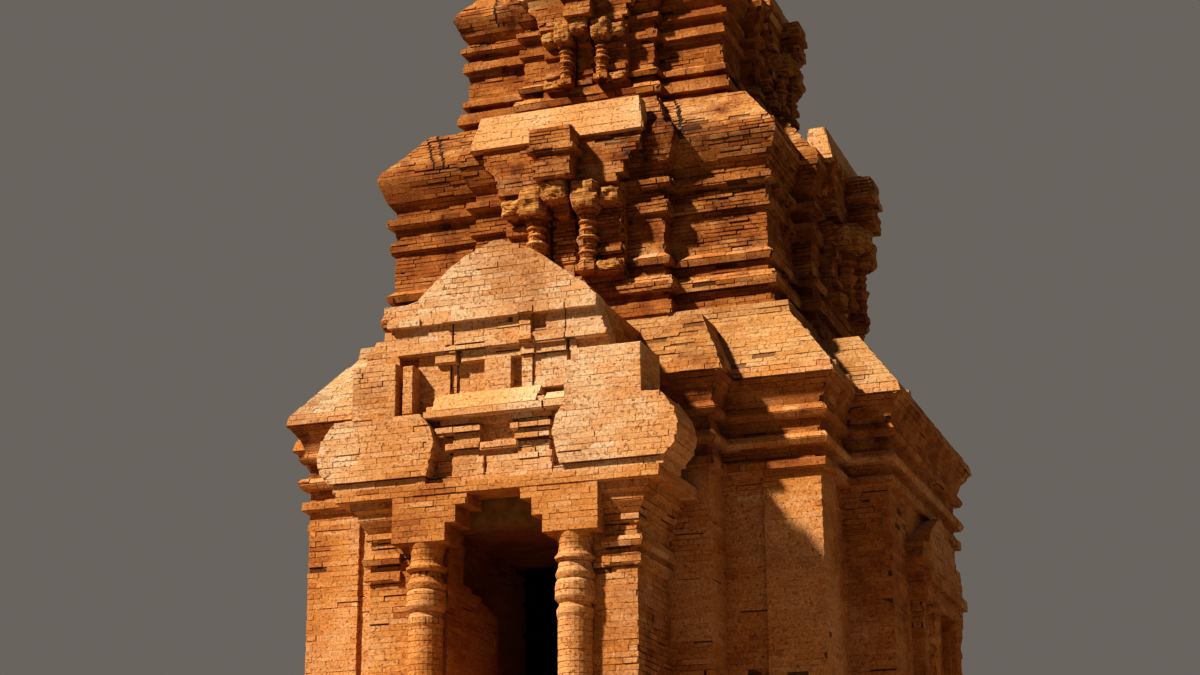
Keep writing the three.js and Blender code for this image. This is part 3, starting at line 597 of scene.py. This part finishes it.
            # The tone takes the painted light or shade from ledges.
            tone = clamp(chance.normal(style["tone"] + paintedLightShift, spread))
            size = (right - left, layout["depth"], height)
            rows.append((*centre, *along, *outward, *size, leans[0] * atEnd[0], leans[1] * atEnd[1], tone, age))
            # Painted shade: an open crack gets a black filler set back from the bricks in place of its depth.
            if b in parted:
                fill = face.middle + along * b + outward * (crackShape["fillProud"] - layout["depth"] / 2)
                size = (2 * parted[b], layout["depth"], face.band)
                rows.append((*fill, *along, *outward, *size, 0, 0, 0, crackShape["paintedShadeAge"]))

    def layFace(self, name, piece, triangles, normal, wear):
        bed = abs(normal[2]) >= layout["level"]
        along = np.cross(normal, (0, 1.0, 0) if bed else (0, 0, 1.0))
        along /= np.linalg.norm(along)
        rise = np.cross(along, normal)
        runs, rises = triangles @ along, triangles @ rise
        plane = float((triangles @ normal).mean())
        if normal[2] < -layout["level"] and -plane < layout["nearGround"]:
            return
        style = styleOfFace(name, normal)
        low, high = rises.min(), rises.max()
        course = layout["bedWidth"] if bed else min(style["course"] / rise[2], style["course"] * layout["tallest"])
        rowCount = max(1, round((high - low) / course))
        band = (high - low) / rowCount
        if band < layout["narrowest"]:
            return
        # Upright faces of the cornices and tiers, other than dressed slabs, get painted light and shade from ledges.
        ledged = piece in ledgedPieces and not bed and style is not styles["dressed"]
        face = SimpleNamespace(piece=piece, along=along, outward=normal, rise=rise, band=band, bed=bed, wear=wear,
                               style=style, ledged=ledged, parity=0 if abs(along[0]) > abs(along[1]) else 1)
        firstRow = round(low / course)
        for k in range(rowCount):
            bottom = low + k * band
            face.middle = rise * (bottom + band / 2) + normal * plane
            lower, spans, upper = (stretches(runs, rises, bottom + band * share) for share in layout["levels"])
            sloped = len(lower) == len(upper) == len(spans)
            for i, (start, stop) in enumerate(spans):
                if stop - start < layout["shortest"]:
                    continue
                leans = (0, 0)
                if sloped:
                    leans = [leanOf(*ends, band) for ends in zip(lower[i], spans[i], upper[i])]
                self.layRow(face, start, stop, leans, firstRow + k)

    def layNode(self, name, piece):
        triangles = trianglesOf(name)
        sides = np.cross(triangles[:, 1] - triangles[:, 0], triangles[:, 2] - triangles[:, 0])
        sizes = np.linalg.norm(sides, axis=1)
        keep = sizes > layout["smallestTriangle"]
        triangles, sides, sizes = triangles[keep], sides[keep], sizes[keep]
        wear = wearOfNode(name)
        for members in flatFaces(triangles, sides / sizes[:, None]):
            if sizes[members].sum() / 2 < layout["smallestFace"]:
                continue
            normal = sides[members].sum(axis=0)
            normal /= np.linalg.norm(normal)
            self.layFace(name, piece, triangles[members], normal, wear)


# Geometry Nodes: one point for each brick becomes a slightly uneven block, chamfered where it is seen closely.
brickShape = {
    "chamfer": 0.003,
    "wobble": 0.007,
    "wobbleScale": 21.0,
    "wobbleNew": 0.6,  # share of the wobble that a new brick has
    "wobbleOld": 1.6,  # what age adds
    "tilt": 0.012,
    "seed": 5,
}


def brickTree(chamfered):
    tree = bpy.data.node_groups.new("layBricks", "GeometryNodeTree")
    face = tree.interface
    face.new_socket("Geometry", in_out="INPUT", socket_type="NodeSocketGeometry")
    for key in brickShape:
        face.new_socket(key, in_out="INPUT", socket_type="NodeSocketInt" if key == "seed" else "NodeSocketFloat")
    face.new_socket("material", in_out="INPUT", socket_type="NodeSocketMaterial")
    face.new_socket("Geometry", in_out="OUTPUT", socket_type="NodeSocketGeometry")
    given = addNode(tree, "NodeGroupInput").outputs

    def made(kind, inputs=None, **settings):
        return addNode(tree, kind, inputs, **settings).outputs[0]

    def named(name, kind="FLOAT"):
        return made("GeometryNodeInputNamedAttribute", {"Name": name}, data_type=kind)

    def store(geometry, name, value, kind, chosen=True):
        inputs = {"Geometry": geometry, "Selection": chosen, "Name": name, "Value": value}
        return made("GeometryNodeStoreNamedAttribute", inputs, data_type=kind, domain="POINT")

    def vector(operation, first, second):
        return made("ShaderNodeVectorMath", {0: first, 1: second}, operation=operation)

    def scaled(value, scale):
        return made("ShaderNodeVectorMath", {0: value, "Scale": scale}, operation="SCALE")

    def number(operation, first, second):
        return mathNode(tree, operation, first, second)

    def combine(x, y, z):
        return made("ShaderNodeCombineXYZ", {0: x, 1: y, 2: z})

    # The block: a chamfered one has its front face drawn twice, and the inner one is pulled in.
    block = made("GeometryNodeMeshCube", {"Size": (1, 1, 1)})
    innerFace = False
    if chamfered:
        facing = split(tree, made("GeometryNodeInputNormal"))
        inputs = {"Mesh": block, "Selection": number("GREATER_THAN", facing[1], 0.5), "Offset Scale": 0.0}
        inset = addNode(tree, "GeometryNodeExtrudeMesh", inputs, mode="FACES").outputs
        block, innerFace = inset["Mesh"], inset["Top"]
    place = made("GeometryNodeInputPosition")
    marked = store(block, "corner", vector("ADD", place, place), "FLOAT_VECTOR")
    marked = store(marked, "inner", 1.0, "FLOAT", innerFace)

    # One block stands on each point, tilted a little.
    along, outward, size, corner = (named(key, "FLOAT_VECTOR") for key in ("along", "outward", "size", "corner"))
    turned = made("FunctionNodeAxesToRotation", {0: outward, 1: along}, primary_axis="Y", secondary_axis="X")
    tilt = given["tilt"]
    back = number("MULTIPLY", tilt, -1.0)
    shake = addNode(tree, "FunctionNodeRandomValue", {"Seed": given["seed"]}, data_type="FLOAT_VECTOR")
    tree.links.new(combine(back, 0.0, back), shake.inputs["Min"])
    tree.links.new(combine(tilt, 0.0, tilt), shake.inputs["Max"])
    tilted = made("FunctionNodeRotateRotation", {0: turned, 1: shake.outputs[0]}, rotation_space="LOCAL")
    laid = made("GeometryNodeInstanceOnPoints",
                {"Points": given["Geometry"], "Instance": marked, "Rotation": tilted, "Scale": size})
    solid = made("GeometryNodeRealizeInstances", {0: laid})

    # Every corner then moves by the chamfer, the lean of a course's end and the wobble of worn brick.
    rise = vector("CROSS_PRODUCT", along, outward)
    side, front, up = split(tree, corner)[0:3]
    inner = named("inner")
    isFront = number("GREATER_THAN", front, 0.5)
    isRim = number("SUBTRACT", isFront, inner)
    setBack = number("MULTIPLY", number("MULTIPLY", isRim, given["chamfer"]), -1.0)
    pull = number("MULTIPLY", number("MULTIPLY", inner, given["chamfer"]), -1.0)
    lean = number("ADD", number("MULTIPLY", number("LESS_THAN", side, 0.0), named("leanLeft")),
                  number("MULTIPLY", number("GREATER_THAN", side, 0.0), named("leanRight")))
    lean = number("MULTIPLY", number("MULTIPLY", lean, up), 0.5)
    shiftAlong = number("ADD", number("MULTIPLY", pull, side), lean)
    shiftRise = number("MULTIPLY", pull, up)
    offset = vector("ADD", scaled(along, shiftAlong), scaled(rise, shiftRise))
    offset = vector("ADD", offset, scaled(outward, setBack))
    inputs = {"Vector": made("GeometryNodeInputPosition"), "Scale": given["wobbleScale"], "Detail": 1.0}
    cloud = addNode(tree, "ShaderNodeTexNoise", inputs).outputs["Color"]
    age = number("ADD", number("MULTIPLY", named("age"), given["wobbleOld"]), given["wobbleNew"])
    amount = number("MULTIPLY", number("MULTIPLY", given["wobble"], isFront), age)
    wobble = scaled(vector("SUBTRACT", cloud, combine(0.5, 0.5, 0.5)), amount)
    moved = made("GeometryNodeSetPosition", {"Geometry": solid, "Offset": vector("ADD", offset, wobble)})
    flat = made("GeometryNodeSetShadeSmooth", {"Geometry": moved, "Shade Smooth": False})
    done = made("GeometryNodeSetMaterial", {"Geometry": flat, "Material": given["material"]})
    addNode(tree, "NodeGroupOutput", {"Geometry": done})
    return tree


def addPiece(name, mesh):
    piece = bpy.data.objects.new(name, mesh)
    scene.collection.objects.link(piece)
    return piece


def triangleCount(piece):
    return sum(len(polygon.vertices) - 2 for polygon in piece.data.polygons)


def pointCloud(name, rows):
    table = np.array(rows)
    mesh = bpy.data.meshes.new(name)
    mesh.vertices.add(len(table))
    mesh.vertices.foreach_set("co", table[:, 0:3].ravel())
    for key, first in (("along", 3), ("outward", 6), ("size", 9)):
        layer = mesh.attributes.new(key, "FLOAT_VECTOR", "POINT")
        layer.data.foreach_set("vector", table[:, first:first + 3].ravel())
    for key, column in (("leanLeft", 12), ("leanRight", 13), ("tone", 14), ("age", 15)):
        layer = mesh.attributes.new(key, "FLOAT", "POINT")
        layer.data.foreach_set("value", table[:, column].copy())
    return mesh


def buildBricks(name, rows, tree, material):
    points = addPiece(name + "Points", pointCloud(name + "Points", rows))
    modifier = points.modifiers.new("lay", "NODES")
    modifier.node_group = tree
    values = {**brickShape, "material": material}
    for item in tree.interface.items_tree:
        if item.in_out == "INPUT" and item.name in values:
            modifier[item.identifier] = values[item.name]
    bpy.context.view_layer.update()
    evaluated = points.evaluated_get(bpy.context.evaluated_depsgraph_get())
    mesh = bpy.data.meshes.new_from_object(evaluated)
    for key in ("along", "outward", "size", "corner", "inner", "leanLeft", "leanRight"):
        if key in mesh.attributes:
            mesh.attributes.remove(mesh.attributes[key])
    mesh.name = name
    bpy.data.objects.remove(points)
    return addPiece(name, mesh)


pieceOf = {
    "bricksPlinth": ("base_plinth", "entrance_steps", "chamber_floor"),
    "bricksWalls": ("back_wall", "front_wall", "side_wall", "false_door"),
    "bricksPorch": ("porch_pier", "porch_capital", "impost", "inner_jamb", "porch_slab", "porch_block", "lobe",
                    "pediment", "upper_field", "gable_wall", "porch_roof"),
    "bricksCornice": ("body_cornice",),
    "bricksRoof": ("main_roof",),
    "bricksTierOne": ("tier1_walls", "tier1_niche"),
    "bricksTierOneTop": ("tier1_cornice", "tier1_roof"),
    "bricksTierTwo": ("tier2",),
    "bricksTierThree": ("tier3",),
}
# Pieces whose upright faces get painted light in the open and painted shade under ledges
ledgedPieces = ("bricksCornice", "bricksTierOne", "bricksTierOneTop", "bricksTierTwo", "bricksTierThree")
chamferedPieces = ("bricksPorch", "bricksCornice", "bricksRoof", "bricksTierOne", "bricksTierOneTop")


def layAllBricks():
    layer = Bricklayer()
    for piece, starts in pieceOf.items():
        for name in sorted(cadNodes):
            if name.startswith(starts):
                layer.layNode(name, piece)
    trees = {chamfered: brickTree(chamfered) for chamfered in (True, False)}
    plainSkin = laidBrick("laidBrick")
    for piece, rows in layer.rows.items():
        skin = laidBrick(piece + "Skin", tintOf[piece]) if piece in tintOf else plainSkin
        bricks = buildBricks(piece, rows, trees[piece in chamferedPieces], skin)
        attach(bricks, "root")
        print("laid", piece, len(rows), "bricks,", triangleCount(bricks), "triangles")
    return plainSkin


# Turned work: the porch's colonettes in drums, one to a course, and the beaded posts of niches and false doors.
# Levels are heights over the ground, beads lie at shares of a post's height and bulge to shares of its radius.
turning = {"seed": 23, "bumps": ((14.0, 1.0), (37.0, 0.6))}

colonetteShape = {
    "axis": (0.912, -5.087),
    "course": 0.067,
    "joint": 0.002,
    "chamfer": 0.004,
    "sides": 24,
    "levels": (1.25, 1.42, 1.47, 3.02, 3.035, 3.11, 3.13, 3.17, 3.225, 3.42, 3.43, 3.495, 3.56, 3.64, 3.655, 3.70,
               3.72, 3.8, 3.97),
    "radii": (0.228, 0.228, 0.2, 0.2, 0.213, 0.213, 0.19, 0.19, 0.236, 0.225, 0.204, 0.232, 0.2, 0.188, 0.238, 0.238,
              0.2, 0.188, 0.222),
    "radiusSpread": 0.0015,
    "tone": (0.5, 0.07),  # usual tone and its spread
    "age": 0.12,
    "unevenness": 0.0035,
}
postShape = {
    "sides": 16,
    "rings": 52,
    "beads": (0.03, 0.17, 0.3, 0.42, 0.53, 0.67, 0.8, 0.96),
    "bulges": (1.3, 0.98, 1.08, 1.02, 1.32, 1.04, 1.12, 1.3),
    "spread": 0.032,
    "neck": 0.84,
}

# Sizes at a niche are in units of its own, read from the box of its front solid, where the hood is the widest part
# and the hanging block reaches out furthest. Those at a false door are in metres.
nicheBox = {"width": 2.4, "reach": 0.645}
nichePost = {"place": (0.352, 0.25), "radius": 0.118, "foot": 0.11, "top": 0.94,
             "tone": (0.4, 0.05), "age": 0.4, "unevenness": 0.011}
doorPost = {"place": (0.72, -4.05), "radius": 0.11, "foot": 1.44, "top": 3.68,
            "tone": 0.45, "age": 0.3, "unevenness": 0.006}


class Turner:
    def __init__(self, name):
        self.name = name
        self.spots = []
        self.faces = []
        self.tones = []
        self.ages = []

    # One closed turned solid: a ring of points for each radius and height, capped at both ends
    def turn(self, axis, rings, sides, tone, age, unevenness):
        first = len(self.spots)
        for radius, height in rings:
            for i in range(sides):
                angle = 2 * math.pi * i / sides
                spot = Vector((axis[0] + radius * math.cos(angle), axis[1] + radius * math.sin(angle), height))
                outward = Vector((math.cos(angle), math.sin(angle), 0))
                self.spots.append(spot + outward * layeredNoise(spot, turning["bumps"]) * unevenness)
        for k in range(len(rings) - 1):
            low, high = first + k * sides, first + (k + 1) * sides
            self.faces += [(low + i, low + (i + 1) % sides, high + (i + 1) % sides, high + i) for i in range(sides)]
        self.faces.append([first + i for i in reversed(range(sides))])
        self.faces.append([first + (len(rings) - 1) * sides + i for i in range(sides)])
        added = len(self.spots) - first
        self.tones += [tone] * added
        self.ages += [age] * added

    def finish(self, material):
        mesh = bpy.data.meshes.new(self.name)
        mesh.from_pydata(self.spots, [], self.faces)
        for key, values in (("tone", self.tones), ("age", self.ages)):
            mesh.attributes.new(key, "FLOAT", "POINT").data.foreach_set("value", values)
        mesh.materials.append(material)
        return addPiece(self.name, mesh)


def turnColonettes(chance, material):
    shape = colonetteShape
    joint, chamfer = shape["joint"], shape["chamfer"]
    turner = Turner("turnedColonettes")
    low, high = shape["levels"][0], shape["levels"][-1]
    drums = round((high - low) / shape["course"])
    step = (high - low) / drums
    for side in (-1, 1):
        axis = (side * shape["axis"][0], shape["axis"][1])
        for k in range(drums):
            bottom = low + k * step + joint / 2
            top = low + (k + 1) * step - joint / 2
            heights = np.array((bottom, bottom + chamfer, (bottom + top) / 2, top - chamfer, top))
            radii = np.interp(heights, shape["levels"], shape["radii"])
            radii[[0, -1]] -= chamfer
            radii += chance.normal(0, shape["radiusSpread"])
            tone = chance.normal(*shape["tone"])
            turner.turn(axis, list(zip(radii, heights)), shape["sides"], tone, shape["age"], shape["unevenness"])
    return turner.finish(material)


def postRings(radius, low, high):
    rings = []
    for k in range(postShape["rings"]):
        share = k / (postShape["rings"] - 1)
        swell = max(bulge * math.exp(-((share - bead) / postShape["spread"]) ** 4 / 2)
                    for bead, bulge in zip(postShape["beads"], postShape["bulges"]))
        rings.append((radius * max(swell, postShape["neck"]), low + share * (high - low)))
    return rings


# For each tier with niches: the unit, the distance of its wall from the axis, and the foot
def nichedTiers():
    for tier in ("tier1", "tier2"):
        low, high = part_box(tier + "_niche_front")
        unit = (high[0] - low[0]) / nicheBox["width"]
        yield unit, -low[1] - nicheBox["reach"] * unit, low[2]


def quarterTurn(x, y, quarters):
    return [(x, y), (-y, x), (-x, -y), (y, -x)][quarters]


def turnPosts(chance, material):
    turner = Turner("turnedPosts")
    along, out = nichePost["place"]
    for unit, wall, foot in nichedTiers():
        rings = postRings(nichePost["radius"] * unit, foot + nichePost["foot"] * unit, foot + nichePost["top"] * unit)
        for quarters in range(4):
            for side in (-1, 1):
                axis = quarterTurn(side * along * unit, -wall - out * unit, quarters)
                turner.turn(axis, rings, postShape["sides"], chance.normal(*nichePost["tone"]), nichePost["age"],
                            nichePost["unevenness"] * unit)
    rings = postRings(doorPost["radius"], doorPost["foot"], doorPost["top"])
    for quarters in (1, 2, 3):
        for side in (-1, 1):
            axis = quarterTurn(side * doorPost["place"][0], doorPost["place"][1], quarters)
            turner.turn(axis, rings, postShape["sides"], doorPost["tone"], doorPost["age"], doorPost["unevenness"])
    return turner.finish(material)


# Boulders: the worn capitals and keystone over a niche's posts, each a lump with a rounded, pitted skin
boulderShape = {
    "cells": 8,
    "power": 5.0,  # 2 would be a ball, and more comes closer to a block
    "bumps": ((9.0, 1.0), (23.0, 0.7), (51.0, 0.5)),
    "bumpMiddle": 0.3,
    "pits": 0.032,
    "weld": 0.0004,
}

# Each boulder's middle and half size over the niche's foot: along the wall, out from it and up.
nicheBoulders = (
    ((0.362, 0.25, 1.105), (0.19, 0.265, 0.21)),
    ((-0.362, 0.25, 1.105), (0.185, 0.265, 0.21)),
    ((0.655, 0.18, 1.085), (0.16, 0.225, 0.12)),
    ((-0.645, 0.18, 1.075), (0.17, 0.225, 0.125)),
    ((-0.035, 0.28, 1.205), (0.185, 0.275, 0.165)),
    ((0.6, 0.12, 0.17), (0.2, 0.18, 0.09)),
    ((-0.6, 0.12, 0.17), (0.2, 0.18, 0.09)),
)


def lump(middle, half, cells):
    grid = np.linspace(-1, 1, cells + 1)
    power = boulderShape["power"]
    spots, faces = [], []
    for axis in range(3):
        for side in (-1, 1):
            first = len(spots)
            for b in grid:
                for a in grid:
                    point = np.roll(np.array((side, a, b)), axis)
                    point = point / (np.abs(point) ** power).sum() ** (1 / power)
                    spots.append(Vector(point * half + middle))
            for j in range(cells):
                for i in range(cells):
                    corner = first + j * (cells + 1) + i
                    face = (corner, corner + 1, corner + cells + 2, corner + cells + 1)
                    faces.append(face if side > 0 else face[::-1])
    return spots, faces


def layBoulders(material):
    builder = bmesh.new()
    for unit, wall, foot in nichedTiers():
        for quarters in range(4):
            for middle, half in nicheBoulders:
                place = np.array((middle[0] * unit, -wall - middle[1] * unit, foot + middle[2] * unit))
                spots, faces = lump(place, np.array(half) * unit, boulderShape["cells"])
                centre = Vector(place)
                made = []
                for spot in spots:
                    swell = layeredNoise(spot, boulderShape["bumps"]) - boulderShape["bumpMiddle"]
                    spot = spot + (spot - centre).normalized() * swell * boulderShape["pits"] * unit
                    x, y = quarterTurn(spot.x, spot.y, quarters)
                    made.append(builder.verts.new((x, y, spot.z)))
                for face in faces:
                    builder.faces.new([made[i] for i in face])
    bmesh.ops.remove_doubles(builder, verts=builder.verts, dist=boulderShape["weld"])
    bmesh.ops.recalc_face_normals(builder, faces=builder.faces)
    mesh = bpy.data.meshes.new("wornBoulders")
    builder.to_mesh(mesh)
    builder.free()
    mesh.materials.append(material)
    return addPiece("wornBoulders", mesh)


# Worn brick with a yellow crust of lichen, its courses still showing as dark uneven lines
crust = {
    "patches": (5.5, 5.0, 0.65),
    "shades": ((0.3, (0.26, 0.085, 0.02)), (0.5, (0.46, 0.21, 0.06)), (0.7, (0.54, 0.31, 0.1))),
    "grain": (42.0, 5.0, 0.7),
    "lichenRange": (0.52, 0.72, 0.0, 0.7),
    "sootRange": (0.42, 0.3, 0.0, 1.0),
    "jointSway": 0.03,
    "jointRange": (0.07, 0.02, 0.0, 0.8),
    "jointDepth": 0.6,
    "bump": (0.9, 0.02),
}


def crustedBrick():
    material, tree, shader, place = startMaterial("crustedBrick")
    patches, grain = (noiseAt(tree, place, *crust[key]) for key in ("patches", "grain"))
    colour = ramp(tree, patches, crust["shades"])
    colour = blendColour(tree, stretch(tree, grain, *crust["lichenRange"]), colour, finish["lichen"])
    colour = blendColour(tree, stretch(tree, grain, *crust["sootRange"]), colour, finish["sootAndShade"])
    sway = mathNode(tree, "MULTIPLY", patches, crust["jointSway"])
    height = mathNode(tree, "ADD", split(tree, place)[2], sway)
    share = mathNode(tree, "FRACT", mathNode(tree, "DIVIDE", height, layout["course"]))
    fromJoint = mathNode(tree, "ABSOLUTE", mathNode(tree, "SUBTRACT", share, 0.5))
    joint = stretch(tree, fromJoint, *crust["jointRange"])
    colour = blendColour(tree, joint, colour, finish["sootAndShade"])
    sunk = mathNode(tree, "MULTIPLY", joint, crust["jointDepth"])
    coat(tree, shader, colour, mathNode(tree, "SUBTRACT", grain, sunk), *crust["bump"])
    return material


def addTurnedWork(material):
    chance = np.random.default_rng(turning["seed"])
    pieces = [(turnColonettes(chance, material), "brick_pale"), (turnPosts(chance, material), "brick"),
              (layBoulders(crustedBrick()), "brick")]
    for piece, slot in pieces:
        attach(piece, "root")
        print("made", piece.name, triangleCount(piece), "triangles")


def finishSolids():
    slots = {part["node"]: part["material_slot"] for part in frame["record"]["subparts"]}
    skins = {slot: bedBrick(**settings) for slot, settings in bedOf.items()}
    skins["stone"] = oldStone()
    for name, node in cadNodes.items():
        node.data.materials.clear()
        node.data.materials.append(skins[slots[name]])
    print("finished", len(cadNodes), "solids")


# Studio: a pale round floor, one broad soft light from the upper left and a pale surround
studio = {
    "floorRadius": 18.0,
    "floorSides": 96,
    "floorDrop": 0.003,
    "floorShade": (0.42, 0.34, 0.25),
    "floorRoughness": 0.9,
    "sunStrength": 5.6,
    "sunSpread": 3.0,
    "sunShade": (1.0, 0.96, 0.9),
    "sunFrom": (-0.503, -0.503, 0.703),
    "worldStrength": 0.15,
    "worldShade": (1.0, 0.92, 0.84),
}


def addStudio():
    bpy.ops.mesh.primitive_circle_add(vertices=studio["floorSides"], radius=studio["floorRadius"],
                                      fill_type="NGON", location=(0, 0, -studio["floorDrop"]))
    floor = bpy.context.object
    floor.name = "studioFloor"
    material = bpy.data.materials.new("paleFloor")
    material.use_nodes = True
    shader = material.node_tree.nodes["Principled BSDF"]
    shader.inputs["Base Color"].default_value = (*studio["floorShade"], 1)
    shader.inputs["Roughness"].default_value = studio["floorRoughness"]
    floor.data.materials.append(material)
    light = bpy.data.lights.new("softSun", "SUN")
    light.energy = studio["sunStrength"]
    light.angle = math.radians(studio["sunSpread"])
    light.color = studio["sunShade"]
    sun = bpy.data.objects.new("softSun", light)
    scene.collection.objects.link(sun)
    sun.rotation_euler = Vector(studio["sunFrom"]).to_track_quat("Z", "Y").to_euler()
    world = bpy.data.worlds.new("paleWorld")
    scene.world = world
    world.use_nodes = True
    backdrop = world.node_tree.nodes["Background"]
    backdrop.inputs["Color"].default_value = (*studio["worldShade"], 1)
    backdrop.inputs["Strength"].default_value = studio["worldStrength"]
    print("set the studio")


# Angles in degrees, lens in millimetres
viewpoint = {"place": (9.108, -27.094, -1.0), "yaw": 19.71, "pitch": 17.06, "roll": -0.41,
             "lens": 63.62, "shiftY": 0.0052, "farthest": 200}


def addCamera():
    yaw, pitch, roll = (math.radians(viewpoint[key]) for key in ("yaw", "pitch", "roll"))
    forward = Vector((-math.sin(yaw) * math.cos(pitch), math.cos(yaw) * math.cos(pitch), math.sin(pitch)))
    level = Vector((math.cos(yaw), math.sin(yaw), 0))
    plumb = level.cross(forward)
    right = level * math.cos(roll) + plumb * math.sin(roll)
    top = plumb * math.cos(roll) - level * math.sin(roll)
    data = bpy.data.cameras.new("photoCamera")
    data.lens = viewpoint["lens"]
    data.shift_y = viewpoint["shiftY"]
    data.clip_end = viewpoint["farthest"]
    camera = bpy.data.objects.new("photoCamera", data)
    scene.collection.objects.link(camera)
    turned = Matrix((right, top, -forward)).transposed().to_4x4()
    camera.matrix_world = Matrix.Translation(viewpoint["place"]) @ turned
    scene.camera = camera
    print("placed the camera")


scene.view_settings.view_transform = "Standard"
scene.view_settings.look = "High Contrast"
addCamera()
addStudio()
finishSolids()
addTurnedWork(layAllBricks())
